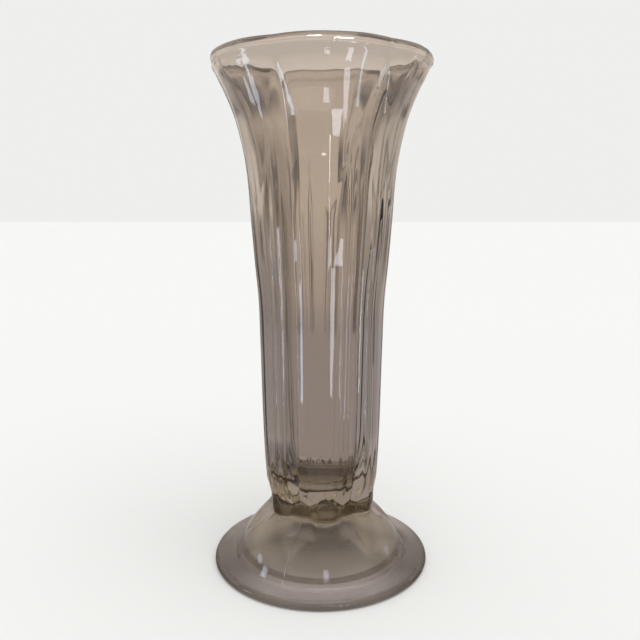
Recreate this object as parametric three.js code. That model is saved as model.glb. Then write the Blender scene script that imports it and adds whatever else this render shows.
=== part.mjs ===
// Glass bud vase: a pressed-glass vase with six petals flaring at the mouth,
// a faceted column, a pinched waist and a round domed foot.
// Millimetres, +Z up, the foot rests on z = 0 and the axis is x = y = 0.
import * as THREE from "three";

// Overall sizes
const HEIGHT = 230;
const MOUTH_R = 48.8;
const COLUMN_R = 28.9;
const WAIST_R = 25.4;
const FOOT_R = 50.8;
const WAIST_Z = 26.8;
const FLARE = 106;
const FLARE_Z = HEIGHT - FLARE;

// Glass thicknesses and the hollows
const LIP = 3.2;
const LIP_DEPTH = 5.2;
const LIP_BLEND = 22;
const FLARE_WALL = 5;
const COLUMN_WALL = 6.2;
const FLOOR_GLASS = 12.2;
const FLOOR_Z = WAIST_Z + FLOOR_GLASS;
const FLOOR_R = 13;
const FLOOR_ROUNDING = 26;
const FLANGE = 4.4;
const FLANGE_WIDTH = 9.8;
const DOME_R = FOOT_R - FLANGE_WIDTH;
const EDGE_LOW = 1.1;
const RESTING_RIM = 0.9;
const DOME_WALL = 4;
const HOLLOW_R = DOME_R - DOME_WALL;
const FOOT_GLASS = 14;
const HOLLOW_Z = WAIST_Z - FOOT_GLASS;

// The pattern: six petals with a pointed, two-sided groove between each pair
const PETALS = 6;
const PATTERN_TURN = 6.6;
const HALF = 180 / PETALS;
const SIDE_FACET = 11.5;
const SIDE_FACET_HIGH = 9;
const SIDE_RIDGE = 0.98;
const SECOND_RIDGE = 20.5;
const SECOND_RIDGE_HIGH = 17.5;
const NOTCH = 0.038;
const FOOT_NOTCH = 0.008;
const NOTCH_SPREAD = 18;
const GROOVE_BELOW_LIP = 4.6;
const PETAL_LENGTH = 67.4;
const FOOT_PETAL_BELOW_WAIST = 0.8;
const FOOT_GROOVE_ABOVE_FLANGE = 6.4;
const GROOVE_TIP = HEIGHT - GROOVE_BELOW_LIP;
const PETAL_TIP = HEIGHT - PETAL_LENGTH;
const FOOT_PETAL_TIP = WAIST_Z - FOOT_PETAL_BELOW_WAIST;
const FOOT_GROOVE_END = FLANGE + FOOT_GROOVE_ABOVE_FLANGE;
const FLUTE = 0.016;
const CENTRE_FLUTE = 0.009;
const WAIST_PINCH = 0.15;
const LEAST_STEP = 4.3;

// Both bodies meet at the waist, this far apart
const JOINT_GAP = 0.3;

const clamp01 = (x) => Math.min(1, Math.max(0, x));
const mix = (a, b, t) => a + (b - a) * t;
const smooth = (x) => clamp01(x) ** 2 * (3 - 2 * clamp01(x));

// Height against a value, read from a smooth curve through a few stations
function curveThrough(stations) {
  const curve = new THREE.SplineCurve(stations.map(([z, v]) => new THREE.Vector2(z, v)));
  const points = curve.getPoints(stations.length * 16);
  return (z) => {
    if (z <= points[0].x) return points[0].y;
    for (let i = 1; i < points.length; i++) {
      const a = points[i - 1];
      const b = points[i];
      if (z <= b.x) return mix(a.y, b.y, (z - a.x) / (b.x - a.x));
    }
    return points[points.length - 1].y;
  };
}

// Stations of the dome, the column and the flare between the sizes at their two ends
const domeAt = (t, s) => [mix(FLANGE, WAIST_Z, t), mix(WAIST_R, DOME_R, s)];
const columnAt = (t, s) => [mix(WAIST_Z, FLARE_Z, t), mix(WAIST_R, COLUMN_R, s)];
const flareAt = (t, s) => [mix(FLARE_Z, HEIGHT, t), mix(COLUMN_R, MOUTH_R, s)];
const COLUMN_FOOT = 0.185;

// Radius over the ridges of the pattern, from the dome of the foot to the lip
const ridgeRadius = curveThrough([
  domeAt(0, 1),
  domeAt(0.21, 0.827),
  domeAt(0.397, 0.654),
  domeAt(0.616, 0.404),
  domeAt(0.754, 0.231),
  domeAt(0.884, 0.064),
  columnAt(0, 0),
  columnAt(0.031, 0.143),
  columnAt(0.093, 0.229),
  columnAt(COLUMN_FOOT, 0.514),
  columnAt(0.434, 0.8),
  columnAt(0.789, 1),
  flareAt(0, 0.03),
  flareAt(0.174, 0.11),
  flareAt(0.348, 0.18),
  flareAt(0.5, 0.231),
  flareAt(0.608, 0.302),
  flareAt(0.695, 0.397),
  flareAt(0.782, 0.528),
  flareAt(0.869, 0.724),
  flareAt(0.913, 0.844),
  [HEIGHT - LIP_DEPTH, MOUTH_R - 1.3],
  [HEIGHT, MOUTH_R - 0.2],
]);

// How far in the valley of each groove lies, as a share of the ridge radius
const petalAt = (t, share) => [mix(GROOVE_TIP, PETAL_TIP, t), share];
const valleyShare = curveThrough([
  [0, 1],
  [FLANGE, 1],
  [mix(FLANGE, WAIST_Z, 0.28), 0.992],
  [mix(FLANGE, WAIST_Z, 0.4), 0.978],
  [mix(FLANGE, WAIST_Z, 0.55), 0.95],
  [mix(FLANGE, WAIST_Z, 0.7), 0.92],
  [mix(FLANGE, WAIST_Z, 0.85), 0.895],
  [WAIST_Z, 0.88],
  [mix(WAIST_Z, FLARE_Z, 0.21), 0.892],
  [mix(WAIST_Z, FLARE_Z, 0.67), 0.903],
  petalAt(1, 0.912),
  petalAt(0.5, 0.921),
  petalAt(0.3, 0.933),
  petalAt(0.15, 0.948),
  petalAt(0, 1 - NOTCH),
  [HEIGHT, 1 - NOTCH],
]);

// Half the width of the groove in degrees: a spear at the mouth, another one on the foot
function grooveHalf(z) {
  if (z < FOOT_PETAL_TIP) return HALF * clamp01((z - FOOT_GROOVE_END) / (FOOT_PETAL_TIP - FOOT_GROOVE_END)) ** 1.8;
  if (z < PETAL_TIP) return HALF;
  const s = clamp01((GROOVE_TIP - z) / (GROOVE_TIP - PETAL_TIP));
  return HALF * (0.77 * s + 0.23 * s * s);
}

// The petals' own outline, drawn in a little towards the valley
function petalShare(away, z) {
  const notch = z < FOOT_PETAL_TIP ? FOOT_NOTCH : NOTCH;
  return 1 - notch * clamp01(1 - away / NOTCH_SPREAD) ** 1.3;
}

// The facets beside the valley grow wider from the petals down to the waist
function facetEnds(z) {
  const down = clamp01((PETAL_TIP - z) / (PETAL_TIP - WAIST_Z));
  return { first: mix(SIDE_FACET_HIGH, SIDE_FACET, down), next: mix(SECOND_RIDGE_HIGH, SECOND_RIDGE, down) };
}

// The breaks of the section in degrees from the valley, in rising order
function breaks(z) {
  const edge = grooveHalf(z);
  const { first, next } = facetEnds(z);
  const side = Math.min(first, edge);
  const second = Math.max(side, Math.min(next, edge));
  const grown = clamp01((edge - first) / (HALF - first));
  return { edge, side, second, grown };
}

// The waist: narrow rounded ribs under the petals and a broad hollow under each groove
function waistShare(away) {
  return 1 - WAIST_PINCH * smooth((26 - away) / 18);
}

// How much of the waist's own section shows at this height
function pinched(z) {
  return smooth((z - WAIST_Z + 7) / 6) * smooth((WAIST_Z + 16 - z) / 13);
}

// Share of the ridge radius at so many degrees from the valley
function sectionShare(away, z) {
  return mix(patternShare(away, z), waistShare(away), pinched(z));
}

// The same without the waist: the petals, and the facets of the groove between them
function patternShare(away, z) {
  const { edge, side, second, grown } = breaks(z);
  if (away >= edge) return petalShare(away, z);
  const atSide = mix(petalShare(side, z), SIDE_RIDGE, grown);
  if (away <= side) return mix(valleyShare(z), atSide, away / side);
  const atSecond = edge > second ? 1 : petalShare(edge, z);
  if (away <= second) {
    const t = (away - side) / (second - side);
    return mix(atSide, atSecond, t) - FLUTE * grown * 4 * t * (1 - t);
  }
  const t = (away - second) / (edge - second);
  return mix(1, petalShare(edge, z), t) - CENTRE_FLUTE * grown * 4 * t * (1 - t);
}

// Angles round one whole turn, following the breaks so that the creases stay sharp,
// with a least step so that the columns stay apart where the groove runs out
function angles(z) {
  const at = breaks(z);
  const side = Math.max(LEAST_STEP, at.side);
  const second = Math.max(side + LEAST_STEP, at.second);
  const petal = at.edge > second + 2 && at.edge < HALF - 2 ? at.edge : mix(second, HALF, 0.35);
  const away = [
    0,
    side / 2,
    side,
    mix(side, second, 0.5),
    second,
    petal,
    mix(petal, HALF, 0.5),
    HALF,
  ];
  const list = [];
  for (let i = 0; i < PETALS; i++) {
    const valley = PATTERN_TURN + HALF + 2 * HALF * i;
    for (const a of away) list.push({ turn: valley + a, away: a });
    for (const a of away.slice(1, -1).reverse()) list.push({ turn: valley + 2 * HALF - a, away: a });
  }
  return list;
}

// One ring of vertices; lobed says how much of the pattern the ring shows
function ring(z, radius, lobed, breaksZ = z) {
  return angles(breaksZ).map(({ turn, away }) => {
    const share = mix(1, sectionShare(away, breaksZ), lobed);
    const a = THREE.MathUtils.degToRad(turn);
    return [radius * share * Math.sin(a), -radius * share * Math.cos(a), z];
  });
}

// Closes a stack of rings with a point on the axis at each end
function bodyOf(rings, startZ, endZ) {
  const count = rings[0].length;
  const vertices = [[0, 0, startZ], ...rings.flat(), [0, 0, endZ]];
  const last = vertices.length - 1;
  const index = [];
  for (let j = 0; j < count; j++) {
    const k = (j + 1) % count;
    index.push(0, 1 + k, 1 + j);
    for (let i = 0; i + 1 < rings.length; i++) {
      const a = 1 + i * count + j;
      const b = 1 + i * count + k;
      index.push(a, b, b + count, a, b + count, a + count);
    }
    const top = 1 + (rings.length - 1) * count;
    index.push(last, top + j, top + k);
  }
  const geometry = new THREE.BufferGeometry();
  geometry.setAttribute("position", new THREE.Float32BufferAttribute(vertices.flat(), 3));
  geometry.setIndex(index);
  return geometry;
}

// The bowl: outside from the waist up, over the rounded lip, and down the smooth inside
const bowlRings = [];
const bowlFoot = WAIST_Z + JOINT_GAP / 2;
const lipStart = HEIGHT - LIP_DEPTH;
const OUTSIDE_ROWS = 30;
for (let i = 0; i <= OUTSIDE_ROWS; i++) {
  const t = i / OUTSIDE_ROWS;
  const z = mix(bowlFoot, lipStart, 0.35 * t + 0.65 * (3 * t * t - 2 * t * t * t));
  bowlRings.push(ring(z, ridgeRadius(z), 1));
}
const LIP_ROWS = 5;
for (let i = 0; i <= LIP_ROWS; i++) {
  const a = mix(-0.25, 1, i / LIP_ROWS) * Math.PI;
  const radius = MOUTH_R - LIP / 2 + (LIP / 2) * Math.cos(a);
  const z = HEIGHT - LIP_DEPTH / 2 + (LIP_DEPTH / 2) * Math.sin(a);
  bowlRings.push(ring(z, radius, mix(1, 0.9, i / LIP_ROWS), HEIGHT));
}
const INSIDE_ROWS = 16;
for (let i = 1; i <= INSIDE_ROWS; i++) {
  const t = i / INSIDE_ROWS;
  const z = mix(HEIGHT - LIP_DEPTH / 2, FLOOR_Z, t ** 1.2);
  const flared = clamp01((z - FLARE_Z) / FLARE);
  const fullWall = mix(COLUMN_WALL, FLARE_WALL, clamp01((flared - 0.13) / 0.76));
  const wall = mix(LIP, fullWall, smooth((HEIGHT - LIP_DEPTH / 2 - z) / LIP_BLEND));
  const rounded = Math.sqrt(clamp01(1 - (1 - clamp01((z - FLOOR_Z) / FLOOR_ROUNDING)) ** 2.4));
  const radius = mix(FLOOR_R, ridgeRadius(Math.max(z, columnAt(COLUMN_FOOT, 0)[0])) - wall, rounded);
  const lobed = 0.9 * clamp01((flared - 0.566) / 0.434);
  bowlRings.push(ring(z, radius, lobed, HEIGHT));
}
bowlRings.push(ring(FLOOR_Z - 1, FLOOR_R - 3.5, 0, HEIGHT));

// The foot: down the dome, round the flange, across the resting ring and up the hollow.
// The stack is turned over at the end, so that its faces look outwards.
const footRings = [];
const footTop = WAIST_Z - JOINT_GAP / 2;
const DOME_ROWS = 14;
for (let i = 0; i <= DOME_ROWS; i++) {
  const z = mix(footTop, FLANGE, i / DOME_ROWS);
  footRings.push(ring(z, ridgeRadius(z), 1));
}
footRings.push(ring(FLANGE - 0.3, DOME_R + 1.6, 0));
const EDGE_ROWS = 6;
for (let i = 0; i <= EDGE_ROWS; i++) {
  const a = mix(0.5, -0.5, i / EDGE_ROWS) * Math.PI;
  const turn = a < 0 ? EDGE_LOW : FLANGE - 0.6 - EDGE_LOW;
  footRings.push(ring(EDGE_LOW + turn * Math.sin(a), FOOT_R - turn + turn * Math.cos(a), 0));
}
footRings.push(ring(0, HOLLOW_R + 3, 0));
const HOLLOW_ROWS = 7;
for (let i = 0; i < HOLLOW_ROWS; i++) {
  const t = i / HOLLOW_ROWS;
  const radius = HOLLOW_R * (1 - t * t * 0.75);
  footRings.push(ring(mix(RESTING_RIM, HOLLOW_Z, 1 - (radius / HOLLOW_R) ** 2), radius, 0));
}

// Named meshes, each with its own glass
function piece(name, geometry) {
  const flat = geometry.toNonIndexed();
  flat.computeVertexNormals();
  const glass = new THREE.MeshStandardMaterial({
    color: 0xa89a88,
    roughness: 0.06,
    metalness: 0,
    transparent: true,
    opacity: 0.45,
  });
  const mesh = new THREE.Mesh(flat, glass);
  mesh.name = name;
  return mesh;
}

const vase = new THREE.Group();
vase.name = "glass_bud_vase";
vase.add(piece("bowl", bodyOf(bowlRings, bowlFoot, FLOOR_Z - 1.4)));
vase.add(piece("foot", bodyOf(footRings.reverse(), HOLLOW_Z, footTop)));

export default vase;
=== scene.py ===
import bpy
import math
import numpy as np
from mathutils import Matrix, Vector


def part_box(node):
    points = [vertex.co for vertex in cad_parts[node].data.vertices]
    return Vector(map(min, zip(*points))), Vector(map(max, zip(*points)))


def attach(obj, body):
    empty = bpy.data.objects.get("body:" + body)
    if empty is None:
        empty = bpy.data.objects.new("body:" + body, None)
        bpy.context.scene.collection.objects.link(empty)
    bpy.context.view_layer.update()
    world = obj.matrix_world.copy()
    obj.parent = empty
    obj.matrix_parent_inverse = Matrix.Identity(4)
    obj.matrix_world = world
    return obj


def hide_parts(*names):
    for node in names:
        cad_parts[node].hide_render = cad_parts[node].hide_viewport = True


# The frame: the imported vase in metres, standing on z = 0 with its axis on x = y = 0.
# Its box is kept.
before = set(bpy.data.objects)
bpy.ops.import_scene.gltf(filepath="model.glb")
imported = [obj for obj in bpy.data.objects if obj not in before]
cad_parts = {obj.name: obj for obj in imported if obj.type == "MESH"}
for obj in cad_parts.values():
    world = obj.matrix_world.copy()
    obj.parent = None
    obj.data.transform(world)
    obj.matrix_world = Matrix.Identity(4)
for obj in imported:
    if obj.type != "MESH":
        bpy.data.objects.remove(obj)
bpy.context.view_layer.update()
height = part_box("bowl")[1].z

# The view: a hand-held camera a little over one height away and about 0.7 of a height
# up, tipped down so that the foot shows its upper side.
view_side = -0.0003
view_distance = 1.338 * height
view_height = 0.7123 * height
view_tip = 9.05
camera_data = bpy.data.cameras.new("view")
camera_data.sensor_width = 36
camera_data.lens = 37.83
camera_data.clip_start = 0.01
camera = bpy.data.objects.new("view", camera_data)
camera.location = (view_side, -view_distance, view_height)
camera.rotation_euler = (math.radians(90 - view_tip), 0, 0)
bpy.context.collection.objects.link(camera)
bpy.context.scene.camera = camera

# The studio: a plain pale floor in an evenly lit pale room with one soft light overhead.
# The vase stands a hair above the floor on the high spots of its ring, as glass does.
floor_reach = 12.0
floor_gap = 0.0004
floor_corners = ((-1, -1), (1, -1), (1, 1), (-1, 1))
floor_mesh = bpy.data.meshes.new("floor")
floor_mesh.from_pydata(
    [(x * floor_reach, y * floor_reach, -floor_gap) for x, y in floor_corners],
    [],
    [(0, 1, 2, 3)],
)
floor = bpy.data.objects.new("floor", floor_mesh)
bpy.context.collection.objects.link(floor)
floor_paint = bpy.data.materials.new("pale_floor")
floor_paint.use_nodes = True
floor_shader = floor_paint.node_tree.nodes["Principled BSDF"]
floor_shader.inputs["Base Color"].default_value = (0.84, 0.84, 0.83, 1)
floor_shader.inputs["Roughness"].default_value = 0.9
floor_shader.inputs["Specular IOR Level"].default_value = 0.1
floor_mesh.materials.append(floor_paint)

room = bpy.data.worlds.new("room")
room.use_nodes = True
room.node_tree.nodes["Background"].inputs["Color"].default_value = (0.86, 0.86, 0.85, 1)
bpy.context.scene.world = room
bpy.context.scene.view_settings.view_transform = "Standard"
bpy.context.scene.cycles.max_bounces = 32
bpy.context.scene.cycles.transmission_bounces = 28
bpy.context.scene.cycles.transparent_max_bounces = 32

overhead_data = bpy.data.lights.new("overhead", "SUN")
overhead_data.energy = 0.9
overhead_data.angle = math.radians(60)
overhead = bpy.data.objects.new("overhead", overhead_data)
overhead.rotation_euler = (math.radians(22), math.radians(14), 0)
bpy.context.collection.objects.link(overhead)

# The cards round the vase: a warm wall with darker gaps, a mauve table and a few bright
# panels. Only the glass sees them, and they draw its facets and edges: the gaps and the
# darkened table are painted shade, and the glowing panels, which are no lamps, are painted
# highlights. Places round the vase are in degrees from straight behind it.
card_radius = 0.60
wall_height = 1.6
table_level = -0.0003
card_columns = 180
wall_rows = 32
table_rings = (0.02, 0.035, 0.045, 0.055, 0.075, 0.10, 0.13, 0.16, 0.20, 0.30, 0.40, 0.50, 0.60)
warm_wall = np.array((0.88, 0.81, 0.74))
low_wall = np.array((0.70, 0.63, 0.60))
mauve_table = np.array((0.51, 0.475, 0.49))
painted_shade_colour = np.array((0.11, 0.095, 0.09))
low_wall_top = 0.05
warm_wall_start = 0.17
# Painted shade: the wall grows dimmer above these heights, so the glass shows it darker there.
dimmer_bands = ((0.24, 0.06), (0.32, 0.18))
dimmer_fade = 0.05
beside_shade_end = 0.17
beyond_shade_start = 0.13
beyond_darkness = 0.35
table_fade = 0.05
vase_clearance = 0.02
gap_sharpness = 1.6
gap_end_fade = 0.03
# Painted shade: dark bands on the wall, set where the glass's facets and sides look onto it, so that they
# show dark.
gaps = (
    # middle and width in degrees, darkness, bottom and top
    (-11, 8, 0.95, -1, 0.29),
    (-20, 15, 1.0, 0.11, 0.225),
    (-38, 52, 0.4, 0.03, 0.23),
    (-43, 22, 0.9, 0.03, 0.16),
    (-55, 70, 0.5, -1, 0.14),
    (-95, 34, 0.6, -1, 2),
    (8, 8, 0.9, -1, 0.29),
    (19, 10, 0.95, 0.13, 0.27),
    (38, 16, 0.95, 0.03, 0.16),
    (40, 52, 0.4, 0.03, 0.26),
    (46, 12, 0.85, 0.12, 0.21),
    (60, 70, 0.5, -1, 0.14),
    (95, 34, 0.6, -1, 2),
)


def wall_colour(azimuth, up):
    """The colour of the wall card: mauve at the table, warm above, with painted shade: dimmer higher up and
    dark in the gaps.
    """
    warmth = np.clip((up - low_wall_top) / (warm_wall_start - low_wall_top), 0, 1)
    colour = mauve_table + (low_wall - mauve_table) * np.clip(up / low_wall_top, 0, 1)
    colour = colour + (warm_wall - low_wall) * warmth
    dimmer = sum(loss * np.clip((up - start) / dimmer_fade, 0, 1) for start, loss in dimmer_bands)
    colour = colour * (1 - dimmer)
    shade = 0
    for middle, width, darkness, bottom, top in gaps:
        across = np.clip(gap_sharpness * (1 - abs(azimuth - middle) / (width / 2)), 0, 1)
        above = np.clip((up - bottom) / gap_end_fade, 0, 1)
        below = np.clip((top - up) / gap_end_fade, 0, 1)
        shade = max(shade, darkness * across * above * below)
    return colour + (painted_shade_colour - colour) * shade


def table_colour(azimuth, r):
    """The colour of the table card, with painted shade: dark close beside the vase, which darkens the sides
    of the foot as the glass shows them, and dim further off behind it.
    """
    beside = np.clip(1.5 - abs(abs(azimuth) - 100) / 35, 0, 1)
    beside = beside * np.clip((beside_shade_end - r) / table_fade, 0, 1)
    beside = beside * np.clip((r - vase_clearance) / vase_clearance, 0, 1)
    beyond = np.clip(1.5 - abs(abs(azimuth) - 58) / 22, 0, 1)
    beyond = beyond_darkness * beyond * np.clip((r - beyond_shade_start) / table_fade, 0, 1)
    return mauve_table + (painted_shade_colour - mauve_table) * max(beside, beyond)


card_points = []
card_colours = []


def add_card_ring(r, z, colour_of, place):
    """One ring of card points, with the colour of each from its azimuth and its place."""
    for j in range(card_columns):
        azimuth = 360 * j / card_columns
        a = math.radians(azimuth)
        card_points.append((r * math.sin(a), r * math.cos(a), z))
        card_colours.append(colour_of((azimuth + 180) % 360 - 180, place))


for r in table_rings:
    add_card_ring(r, table_level, table_colour, r)
for i in range(wall_rows):
    z = wall_height * ((i + 1) / wall_rows) ** 1.5
    add_card_ring(card_radius, z, wall_colour, z)
card_faces = [tuple(range(card_columns))]
for i in range(len(table_rings) + wall_rows - 1):
    low = i * card_columns
    high = low + card_columns
    for j in range(card_columns):
        k = (j + 1) % card_columns
        card_faces.append((low + j, low + k, high + k, high + j))
card_mesh = bpy.data.meshes.new("cards")
card_mesh.from_pydata(card_points, [], card_faces)
card_mesh.attributes.new("card_colour", "FLOAT_COLOR", "POINT").data.foreach_set(
    "color", [c for colour in card_colours for c in (*colour, 1)])


def glow(name, colour, strength):
    """A material that only gives off light."""
    material = bpy.data.materials.new(name)
    material.use_nodes = True
    nodes = material.node_tree.nodes
    nodes.remove(nodes["Principled BSDF"])
    light = nodes.new("ShaderNodeEmission")
    light.inputs["Color"].default_value = (*colour, 1)
    light.inputs["Strength"].default_value = strength
    material.node_tree.links.new(light.outputs["Emission"], nodes["Material Output"].inputs["Surface"])
    return material


def stand_card(name, mesh, seen_through_glass):
    """Stands a card where only the glass shows it, and neither camera nor floor sees it."""
    card = bpy.data.objects.new(name, mesh)
    bpy.context.collection.objects.link(card)
    card.visible_camera = False
    card.visible_diffuse = False
    card.visible_shadow = False
    card.visible_volume_scatter = False
    card.visible_transmission = seen_through_glass


card_glow = glow("card_glow", warm_wall, 1)
card_nodes = card_glow.node_tree.nodes
card_tint = card_nodes.new("ShaderNodeAttribute")
card_tint.attribute_name = "card_colour"
card_glow.node_tree.links.new(card_tint.outputs["Color"], card_nodes["Emission"].inputs["Color"])
card_mesh.materials.append(card_glow)
stand_card("cards", card_mesh, True)


def bright_panel(name, azimuth, out, up, width, strength, colour):
    """A glowing panel, no lamp, that puts a painted highlight on the glass; out, up and width each hold the
    value of its low and high edge.
    """
    a = math.radians(azimuth)
    corners = []
    for side, edge in ((-1, 0), (1, 0), (1, 1), (-1, 1)):
        x = side * width[edge] / 2
        y = out[edge]
        corners.append((x * math.cos(a) + y * math.sin(a), y * math.cos(a) - x * math.sin(a), up[edge]))
    mesh = bpy.data.meshes.new(name)
    mesh.from_pydata(corners, [], [(0, 1, 2, 3)])
    mesh.materials.append(glow(name + "_glow", colour, strength))
    stand_card(name, mesh, False)


cool = (0.70, 0.82, 1.0)
soft = (0.92, 0.92, 1.0)
warm = (1.0, 0.95, 0.86)
far = (0.35, 0.35)
near = (0.20, 0.20)
lying = (0.0002, 0.0002)
# Painted highlights: glowing panels, no lamps, which only the glass's reflections show.
bright_panel("highlight_left", -107, far, (0.050, 0.115), (0.05, 0.05), 7, cool)
bright_panel("highlight_left_low", -91, far, (0.088, 0.108), (0.05, 0.05), 5, cool)
bright_panel("highlight_low", 173.5, near, (0.095, 0.121), (0.020, 0.024), 6, soft)
bright_panel("highlight_front", 160, far, (0.066, 0.096), (0.10, 0.05), 8, soft)
bright_panel("highlight_front_high", 168, far, (0.096, 0.141), (0.014, 0.008), 12, soft)
bright_panel("highlight_right", 78, far, (0.064, 0.104), (0.05, 0.05), 2.5, cool)
bright_panel("sheet_left", -99, (0.27, 0.58), lying, (0.03, 0.07), 7, cool)
bright_panel("sheet_right", 124, (0.23, 0.56), lying, (0.02, 0.05), 6, cool)
bright_panel("sheet_front", 149, (0.30, 0.60), lying, (0.035, 0.06), 7, soft)
bright_panel("glint_left", -174, (0.129, 0.129), (0.262, 0.278), (0.03, 0.03), 60, warm)
bright_panel("glint_right", 162.3, (0.127, 0.127), (0.235, 0.247), (0.03, 0.03), 60, warm)

# The bowl: the upper part of the vase, pressed between a three-part mould and a smooth plunger.
# Six petals flare at the mouth; between them pointed two-sided grooves run down and become
# the valleys of a faceted column, which draws in to the waist.
mouth_radius = 0.0488
column_radius = 0.0289
waist_radius = 0.0254
foot_radius = 0.0508
flange_width = 0.0098
dome_radius = foot_radius - flange_width
waist_height = 0.0268
flange_top = 0.0044
flare_start = height - 0.106
column_foot = 0.185
petals = 6
half_petal = 180 / petals
mould_parts = 3
pattern_turn = 6.6


def between(low, high, share):
    """The value at that share of the way from low to high."""
    return low + (high - low) * share


def eased(share):
    """The same share, starting and ending gently."""
    return share * share * (3 - 2 * share)


def curve_through(stations):
    """A smooth curve through (height, value) stations, as a function of height."""
    knots = np.array(stations, float)
    count = len(knots)
    points = []
    for step in np.linspace(0, count - 1, count * 16 + 1):
        i = min(int(step), count - 2)
        t = step - i
        p0 = knots[max(i - 1, 0)]
        p1 = knots[i]
        p2 = knots[i + 1]
        p3 = knots[min(i + 2, count - 1)]
        v0 = (p2 - p0) / 2
        v1 = (p3 - p1) / 2
        cubic = 2 * p1 - 2 * p2 + v0 + v1
        square = 3 * p2 - 3 * p1 - 2 * v0 - v1
        points.append(cubic * t**3 + square * t**2 + v0 * t + p1)
    points = np.array(points)
    return lambda z: np.interp(z, points[:, 0], points[:, 1])


def dome_at(up, out):
    """A point on the dome: shares of its height and of its spread."""
    return between(flange_top, waist_height, up), between(waist_radius, dome_radius, out)


def column_at(up, out):
    """A point on the column: shares of its height and of its swelling from the waist."""
    return between(waist_height, flare_start, up), between(waist_radius, column_radius, out)


def flare_at(up, out):
    """A point on the flare: shares of its height and of its spread."""
    return between(flare_start, height, up), between(column_radius, mouth_radius, out)


# The ridges are the outermost line of the wall, given as a radius; the valleys between
# the petals are given as shares of it. Both follow the dome, the column and the flare.
lip_thickness = 0.0032
lip_depth = 0.0052
lip_set_back = 0.0013
lip_draw_in = 0.0002
notch = 0.038
foot_notch = 0.008
notch_spread = 18
groove_tip = height - 0.0046
petal_tip = height - 0.0674
foot_petal_tip = waist_height - 0.0008
foot_groove_end = flange_top + 0.0064
ridge_radius = curve_through([
    dome_at(0, 1),
    dome_at(0.21, 0.827),
    dome_at(0.397, 0.654),
    dome_at(0.616, 0.404),
    dome_at(0.754, 0.231),
    dome_at(0.884, 0.064),
    column_at(0, 0),
    column_at(0.031, 0.143),
    column_at(0.093, 0.229),
    column_at(column_foot, 0.514),
    column_at(0.434, 0.8),
    column_at(0.789, 1),
    flare_at(0, 0.03),
    flare_at(0.174, 0.11),
    flare_at(0.348, 0.18),
    flare_at(0.5, 0.231),
    flare_at(0.608, 0.302),
    flare_at(0.695, 0.397),
    flare_at(0.782, 0.528),
    flare_at(0.869, 0.724),
    flare_at(0.913, 0.844),
    (height - lip_depth, mouth_radius - lip_set_back),
    (height, mouth_radius - lip_draw_in),
])
valley_share = curve_through([
    (0, 1),
    (flange_top, 1),
    (between(flange_top, waist_height, 0.28), 0.992),
    (between(flange_top, waist_height, 0.4), 0.978),
    (between(flange_top, waist_height, 0.55), 0.95),
    (between(flange_top, waist_height, 0.7), 0.92),
    (between(flange_top, waist_height, 0.85), 0.895),
    (waist_height, 0.88),
    (between(waist_height, flare_start, 0.21), 0.892),
    (between(waist_height, flare_start, 0.67), 0.903),
    (petal_tip, 0.912),
    (between(groove_tip, petal_tip, 0.5), 0.921),
    (between(groove_tip, petal_tip, 0.3), 0.933),
    (between(groove_tip, petal_tip, 0.15), 0.948),
    (groove_tip, 1 - notch),
    (height, 1 - notch),
])

# The section of the wall: facet widths are in degrees from the valley, depths and
# ridges are shares of the ridge radius.
side_facet = 11.5
side_facet_high = 9
side_ridge = 0.98
second_ridge = 20.5
second_ridge_high = 17.5
flute_depth = 0.016
centre_flute = 0.009
waist_hollow = 26
waist_rib = 8
waist_pinch = 0.15
pinch_below = 0.007
pinch_below_fade = 0.006
pinch_above = 0.016
pinch_above_fade = 0.013
crease_rounding = ((-1, 0.1), (-0.5, 0.2), (0, 0.4), (0.5, 0.2), (1, 0.1))
tiny = 1e-6


def groove_half(z):
    """Half the width of the groove in degrees: a spear under the lip, another on the foot."""
    foot_spear = half_petal * np.clip((z - foot_groove_end) / (foot_petal_tip - foot_groove_end), 0, 1) ** 1.8
    s = np.clip((groove_tip - z) / (groove_tip - petal_tip), 0, 1)
    mouth_spear = half_petal * (0.77 * s + 0.23 * s * s)
    return np.where(z < foot_petal_tip, foot_spear, np.where(z < petal_tip, half_petal, mouth_spear))


def petal_share(away, z):
    """The petals' own outline, drawn in a little towards the valley between them."""
    dip = np.where(z < foot_petal_tip, foot_notch, notch)
    return 1 - dip * np.clip(1 - away / notch_spread, 0, 1) ** 1.3


def hollowed(share):
    """How hollow a facet is at that share of its width: full in the middle, none at its edges."""
    return 4 * share * (1 - share)


def sharp_section(away, z):
    """Share of the ridge radius at so many degrees from the valley, with sharp creases."""
    edge = groove_half(z)
    down = np.clip((petal_tip - z) / (petal_tip - waist_height), 0, 1)
    first = between(side_facet_high, side_facet, down)
    side = np.maximum(np.minimum(first, edge), tiny)
    ridge = between(second_ridge_high, second_ridge, down)
    second = np.maximum(np.minimum(ridge, edge), side + tiny)
    grown = np.clip((edge - first) / (half_petal - first), 0, 1)
    at_side = petal_share(side, z) * (1 - grown) + side_ridge * grown
    at_second = np.where(edge > second + 10 * tiny, 1.0, petal_share(edge, z))
    t_side = np.clip(away / side, 0, 1)
    t_flute = np.clip((away - side) / (second - side), 0, 1)
    t_flat = np.clip((away - second) / np.maximum(edge - second, tiny), 0, 1)
    in_side = valley_share(z) * (1 - t_side) + at_side * t_side
    in_flute = at_side * (1 - t_flute) + at_second * t_flute - flute_depth * grown * hollowed(t_flute)
    in_flat = (1 - t_flat) + petal_share(edge, z) * t_flat - centre_flute * grown * hollowed(t_flat)
    share = np.where(away <= side, in_side, np.where(away <= second, in_flute, in_flat))
    return np.where(away >= edge, petal_share(away, z), share)


def waist_section(away):
    """The waist: narrow rounded ribs under the petals, with a broad hollow under each groove."""
    return 1 - waist_pinch * eased(np.clip((waist_hollow - away) / (waist_hollow - waist_rib), 0, 1))


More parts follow.
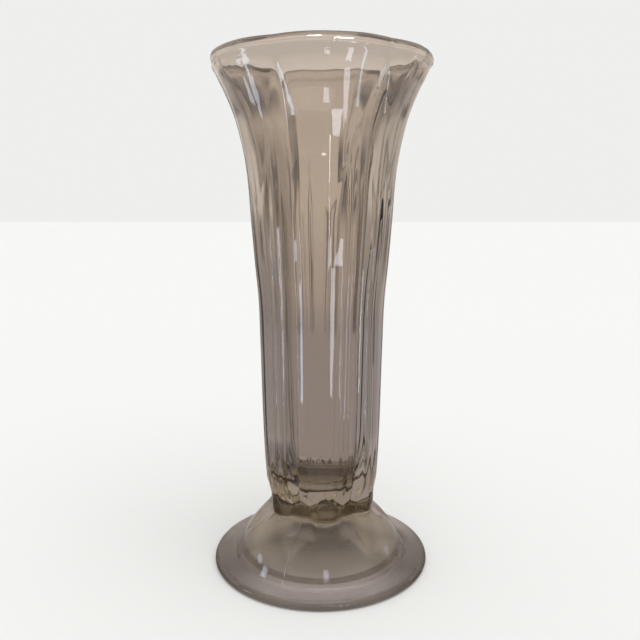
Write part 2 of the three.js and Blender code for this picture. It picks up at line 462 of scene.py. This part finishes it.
def pressed_section(away, z):
    """The same with the creases rounded, as hot glass leaves them, and drawn in at the waist."""
    total = 0
    for shift, weight in crease_rounding:
        a = np.abs(away + shift)
        a = np.where(a > half_petal, 2 * half_petal - a, a)
        total = total + weight * sharp_section(a, z)
    below = np.clip((z - waist_height + pinch_below) / pinch_below_fade, 0, 1)
    above = np.clip((waist_height + pinch_above - z) / pinch_above_fade, 0, 1)
    pinched = eased(below) * eased(above)
    return total * (1 - pinched) + waist_section(away) * pinched


# The rings: each is the wall's outline at one height, over one third of the way round,
# with the fine seam that the joint of the mould leaves in its middle. The seam is
# plainest on the foot and the lower column.
seam_turn = 60
seam_height = 0.00022
seam_width = 0.35
seam_fade_end = 0.5 * height
seam_fade = 0.3 * height
seam_faintest = 0.15
seam_start = 0.002
seam_edges = seam_turn + seam_width * np.array([-1, -0.4, 0.4, 1])
turns = np.unique(np.concatenate([np.linspace(0, 360 / mould_parts, 85), seam_edges]))


def ring(z, radius, lobed, pattern_height):
    """One ring of points; lobed is how much of the pattern at that height it shows."""
    away = np.abs((turns + half_petal) % (2 * half_petal) - half_petal)
    share = 1 + (pressed_section(away, pattern_height) - 1) * lobed
    angle = np.radians(turns + pattern_turn + half_petal)
    fade = np.clip((seam_fade_end - pattern_height) / seam_fade, seam_faintest, 1)
    fade = fade * np.clip(pattern_height / seam_start, 0, 1)
    seam = seam_height * fade * np.clip(1 - np.abs(turns - seam_turn) / seam_width, 0, 1)
    return np.stack([
        (radius * share + seam) * np.sin(angle),
        -(radius * share + seam) * np.cos(angle),
        np.full_like(angle, z),
    ], axis=1)


def third_of(name, rings, first_height, last_height, joint_end):
    """The mesh of one third: quads between the rings and a fan to the axis at each end."""
    row = len(turns)
    points = [(0, 0, first_height)] + [tuple(p) for r in rings for p in r] + [(0, 0, last_height)]
    faces = []
    at_joint = []
    last_row = 1 + (len(rings) - 1) * row
    for j in range(row - 1):
        faces.append((0, 1 + j + 1, 1 + j))
        at_joint.append(joint_end == "first")
        for i in range(len(rings) - 1):
            a = 1 + i * row + j
            faces.append((a, a + 1, a + 1 + row, a + row))
            at_joint.append(False)
        faces.append((len(points) - 1, last_row + j, last_row + j + 1))
        at_joint.append(joint_end == "last")
    mesh = bpy.data.meshes.new(name)
    mesh.from_pydata(points, [], faces)
    mesh.attributes.new("joint_face", "BOOLEAN", "FACE").data.foreach_set("value", at_joint)
    third = bpy.data.objects.new(name, mesh)
    bpy.context.collection.objects.link(third)
    return third


# The bowl's own rings: up the outside, over the rounded lip, and down the plunger's
# side to the floor of the hollow, where the glass is thick.
joint_slit = 0.00002
bowl_bottom = waist_height + joint_slit
fine_rings_top = 0.06
lip_start = height - lip_depth
lip_middle = height - lip_depth / 2
lip_blend = 0.022
flare_wall = 0.0050
column_wall = 0.0062
cavity_floor = waist_height + 0.0122
cavity_floor_radius = 0.013
floor_rounding = 0.026
floor_fullness = 2.4
floor_sag = 0.0014
wall_thins_start = 0.13
wall_thins_over = 0.76
inner_petals = 0.9
inner_petals_start = 0.566
lower_heights = np.linspace(bowl_bottom, fine_rings_top, 40, endpoint=False)
upper_heights = np.linspace(fine_rings_top, lip_start, 150)
bowl_rings = [ring(z, ridge_radius(z), 1, z) for z in (*lower_heights, *upper_heights)]
for a in np.radians(np.linspace(-45, 180, 31)):
    radius = mouth_radius - lip_thickness / 2 + lip_thickness / 2 * math.cos(a)
    lobed = 1 - (1 - inner_petals) * (math.degrees(a) + 45) / 225
    bowl_rings.append(ring(lip_middle + lip_depth / 2 * math.sin(a), radius, lobed, height))
for t in np.linspace(0, 1, 71)[1:]:
    z = between(lip_middle, cavity_floor, t**1.2)
    flared = np.clip((z - flare_start) / (height - flare_start), 0, 1)
    thinned = np.clip((flared - wall_thins_start) / wall_thins_over, 0, 1)
    full_wall = between(column_wall, flare_wall, thinned)
    wall = between(lip_thickness, full_wall, eased(np.clip((lip_middle - z) / lip_blend, 0, 1)))
    below_wall = 1 - min(1, (z - cavity_floor) / floor_rounding)
    rounded = math.sqrt(max(0, 1 - below_wall**floor_fullness))
    full_radius = ridge_radius(max(z, column_at(column_foot, 0)[0])) - wall
    radius = between(cavity_floor_radius, full_radius, rounded)
    lobed = inner_petals * np.clip((flared - inner_petals_start) / (1 - inner_petals_start), 0, 1)
    bowl_rings.append(ring(z, radius, lobed, height))
for share in (0.9, 0.75, 0.55, 0.3):
    bowl_rings.append(ring(cavity_floor - floor_sag * (1 - share**2), cavity_floor_radius * share, 0, height))
bowl_third = third_of("bowl_glass", bowl_rings, bowl_bottom, cavity_floor - floor_sag, "first")


def link(tree, source, output, target, entry):
    """Joins a named output of one node to a named input of another."""
    entries = [i for i in target.inputs if i.name == entry and i.enabled]
    outputs = [o for o in source.outputs if o.name == output and o.enabled]
    tree.links.new(outputs[0], entries[0])


def pressed_surface_group():
    """Shader group for a pressed surface: clouds of tint, slow waves and a fine ripple.

    The waves and the ripple are drawn out along the pull of the mould.
    """
    group = bpy.data.node_groups.new("pressed_surface", "ShaderNodeTree")
    for name, kind in (
        ("Tint", "NodeSocketColor"),
        ("Dark tint", "NodeSocketColor"),
        ("Ripple height", "NodeSocketFloat"),
        ("Wave height", "NodeSocketFloat"),
    ):
        group.interface.new_socket(name, in_out="INPUT", socket_type=kind)
    group.interface.new_socket("Colour", in_out="OUTPUT", socket_type="NodeSocketColor")
    group.interface.new_socket("Normal", in_out="OUTPUT", socket_type="NodeSocketVector")
    start = group.nodes.new("NodeGroupInput")
    end = group.nodes.new("NodeGroupOutput")
    place = group.nodes.new("ShaderNodeTexCoord")
    cloud = group.nodes.new("ShaderNodeTexNoise")
    cloud.inputs["Scale"].default_value = 30
    cloud.inputs["Detail"].default_value = 3
    link(group, place, "Object", cloud, "Vector")
    tone = group.nodes.new("ShaderNodeMix")
    tone.data_type = "RGBA"
    link(group, start, "Tint", tone, "A")
    link(group, start, "Dark tint", tone, "B")
    link(group, cloud, "Fac", tone, "Factor")
    link(group, tone, "Result", end, "Colour")
    drawn_out = group.nodes.new("ShaderNodeMapping")
    drawn_out.inputs["Scale"].default_value = (1, 1, 0.12)
    link(group, place, "Object", drawn_out, "Vector")
    relief = []
    for depth, scale, detail in (("Wave height", 110, 1), ("Ripple height", 420, 2)):
        noise = group.nodes.new("ShaderNodeTexNoise")
        noise.inputs["Scale"].default_value = scale
        noise.inputs["Detail"].default_value = detail
        link(group, drawn_out, "Vector", noise, "Vector")
        bump = group.nodes.new("ShaderNodeBump")
        bump.inputs["Strength"].default_value = 1
        link(group, start, depth, bump, "Distance")
        link(group, noise, "Fac", bump, "Height")
        relief.append(bump)
    waves, ripple = relief
    link(group, waves, "Normal", ripple, "Normal")
    link(group, ripple, "Normal", end, "Normal")
    return group


# The glass itself: one taupe glass for the whole vase. Its colour deepens with the
# thickness that the light goes through.
pressed_surface = pressed_surface_group()
glass_tint = (0.74, 0.69, 0.64)
glass_dark_tint = (0.70, 0.65, 0.60)
glass_depth_colour = (0.55, 0.46, 0.2)
glass_depth = 14


def plain_glass(name, roughness):
    """The vase's glass with an even surface."""
    material = bpy.data.materials.new(name)
    material.use_nodes = True
    nodes = material.node_tree.nodes
    shader = nodes["Principled BSDF"]
    shader.inputs["Transmission Weight"].default_value = 1
    shader.inputs["Metallic"].default_value = 0
    shader.inputs["IOR"].default_value = 1.5
    shader.inputs["Roughness"].default_value = roughness
    shader.inputs["Base Color"].default_value = (*glass_tint, 1)
    absorption = nodes.new("ShaderNodeVolumeAbsorption")
    absorption.inputs["Color"].default_value = (*glass_depth_colour, 1)
    absorption.inputs["Density"].default_value = glass_depth
    link(material.node_tree, absorption, "Volume", nodes["Material Output"], "Volume")
    return material


def pressed_glass(name, roughness, ripple_height, wave_height):
    """The vase's glass with the surface that pressing leaves."""
    material = plain_glass(name, roughness)
    tree = material.node_tree
    surface = tree.nodes.new("ShaderNodeGroup")
    surface.node_tree = pressed_surface
    surface.inputs["Tint"].default_value = (*glass_tint, 1)
    surface.inputs["Dark tint"].default_value = (*glass_dark_tint, 1)
    surface.inputs["Ripple height"].default_value = ripple_height
    surface.inputs["Wave height"].default_value = wave_height
    link(tree, surface, "Colour", tree.nodes["Principled BSDF"], "Base Color")
    link(tree, surface, "Normal", tree.nodes["Principled BSDF"], "Normal")
    return material


bowl_glass = pressed_glass("taupe_pressed_glass", 0.05, ripple_height=0.000012, wave_height=0.00016)

# The joint at the waist: in the real vase the glass runs on from bowl to foot, so the faces
# on either side of the slit are of the same glass, and clear to look through.
joint_glass = plain_glass("glass_runs_on", 0.05)
joint_glass.node_tree.nodes["Principled BSDF"].inputs["Alpha"].default_value = 0
weld_distance = 0.000002
sharp_crease = math.radians(50)


def round_the_axis(third, body_glass):
    """Repeats one third round the axis, welds the thirds and gives them their glass."""
    tree = bpy.data.node_groups.new(third.name + "_round_the_axis", "GeometryNodeTree")
    tree.interface.new_socket("Third", in_out="INPUT", socket_type="NodeSocketGeometry")
    tree.interface.new_socket("Mould parts", in_out="INPUT", socket_type="NodeSocketInt")
    tree.interface.new_socket("Weld distance", in_out="INPUT", socket_type="NodeSocketFloat")
    tree.interface.new_socket("Vase", in_out="OUTPUT", socket_type="NodeSocketGeometry")
    start = tree.nodes.new("NodeGroupInput")
    end = tree.nodes.new("NodeGroupOutput")
    spots = tree.nodes.new("GeometryNodeMeshLine")
    spots.inputs["Offset"].default_value = (0, 0, 0)
    link(tree, start, "Mould parts", spots, "Count")
    number = tree.nodes.new("GeometryNodeInputIndex")
    step = tree.nodes.new("ShaderNodeMath")
    step.operation = "DIVIDE"
    step.inputs[0].default_value = 2 * math.pi
    tree.links.new(start.outputs["Mould parts"], step.inputs[1])
    angle = tree.nodes.new("ShaderNodeMath")
    angle.operation = "MULTIPLY"
    tree.links.new(number.outputs["Index"], angle.inputs[0])
    tree.links.new(step.outputs["Value"], angle.inputs[1])
    turn = tree.nodes.new("ShaderNodeCombineXYZ")
    link(tree, angle, "Value", turn, "Z")
    copies = tree.nodes.new("GeometryNodeInstanceOnPoints")
    link(tree, spots, "Mesh", copies, "Points")
    link(tree, start, "Third", copies, "Instance")
    link(tree, turn, "Vector", copies, "Rotation")
    real = tree.nodes.new("GeometryNodeRealizeInstances")
    link(tree, copies, "Instances", real, "Geometry")
    weld = tree.nodes.new("GeometryNodeMergeByDistance")
    link(tree, real, "Geometry", weld, "Geometry")
    link(tree, start, "Weld distance", weld, "Distance")
    smooth = tree.nodes.new("GeometryNodeSetShadeSmooth")
    link(tree, weld, "Geometry", smooth, "Geometry")
    clothe = tree.nodes.new("GeometryNodeSetMaterial")
    clothe.inputs["Material"].default_value = body_glass
    link(tree, smooth, "Geometry", clothe, "Geometry")
    is_joint = tree.nodes.new("GeometryNodeInputNamedAttribute")
    is_joint.data_type = "BOOLEAN"
    is_joint.inputs["Name"].default_value = "joint_face"
    run_on = tree.nodes.new("GeometryNodeSetMaterial")
    run_on.inputs["Material"].default_value = joint_glass
    link(tree, clothe, "Geometry", run_on, "Geometry")
    tree.links.new(is_joint.outputs["Attribute"], run_on.inputs["Selection"])
    link(tree, run_on, "Geometry", end, "Vase")
    modifier = third.modifiers.new("round_the_axis", "NODES")
    modifier.node_group = tree
    settings = {"Mould parts": mould_parts, "Weld distance": weld_distance}
    for item in tree.interface.items_tree:
        if item.name in settings:
            modifier[item.identifier] = settings[item.name]
    whole = bpy.data.meshes.new_from_object(third.evaluated_get(bpy.context.evaluated_depsgraph_get()))
    third.modifiers.remove(modifier)
    third.data = whole
    whole.name = third.name
    whole.set_sharp_from_angle(angle=sharp_crease)
    return third


bowl = round_the_axis(bowl_third, bowl_glass)
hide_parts("bowl")
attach(bowl, "root")

# The foot: the same glass from the waist down, a ribbed dome with a round flange that
# carries the vase, and a hollow beneath it where the base plate of the mould stood.
hollow_radius = dome_radius - 0.004
hollow_height = waist_height - 0.014
resting_rim = 0.0009
ring_width = 0.003
flange_slope = 0.0006
edge_low = 0.0011
edge_high = flange_top - flange_slope - edge_low
foot_top = waist_height - joint_slit
# The fine steps begin inside the last coarse one, so a band 2.6 mm wide is doubled back.
coarse_steps = [math.sqrt(1 - 0.98 * t) for t in np.linspace(1, 0, 8)[:-1]]
fine_steps = [1 - 0.15 * t for t in np.linspace(1, 0, 24)[1:-1]]
foot_rings = []
for share in coarse_steps + fine_steps:
    z = between(resting_rim, hollow_height, 1 - share**2)
    foot_rings.append(ring(z, hollow_radius * share, 0, 0))
foot_rings.append(ring(0, hollow_radius + ring_width, 0, 0))
for a in np.radians(np.linspace(-90, 90, 25)):
    rounding = edge_low if a < 0 else edge_high
    radius = foot_radius - rounding + rounding * math.cos(a)
    foot_rings.append(ring(edge_low + rounding * math.sin(a), radius, 0, 0))
for below_top, beyond_dome in ((0.0004, 0.0030), (0.0003, 0.0016)):
    foot_rings.append(ring(flange_top - below_top, dome_radius + beyond_dome, 0, 0))
for z in np.linspace(flange_top, foot_top, 60):
    foot_rings.append(ring(z, ridge_radius(z), 1, z))
foot_third = third_of("foot_glass", foot_rings, hollow_height, foot_top, "last")
foot_glass = pressed_glass("taupe_foot_glass", 0.09, ripple_height=0.000012, wave_height=0.00016)
foot = round_the_axis(foot_third, foot_glass)

# The underside of the foot: the ring and the hollow, ground dull after pressing.
# Its faces are picked out of the same mesh by their place.
ground_height = 0.0003
ground_reach = hollow_radius + 0.001
ground_glass = pressed_glass("ground_underside", 0.5, ripple_height=0.000012, wave_height=0.00016)
foot.data.materials.append(ground_glass)
for face in foot.data.polygons:
    on_ring = face.center.z < ground_height
    in_hollow = face.normal.z < 0 and math.hypot(face.center.x, face.center.y) < ground_reach
    if on_ring or in_hollow:
        face.material_index = len(foot.data.materials) - 1
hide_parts("foot")
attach(foot, "root")
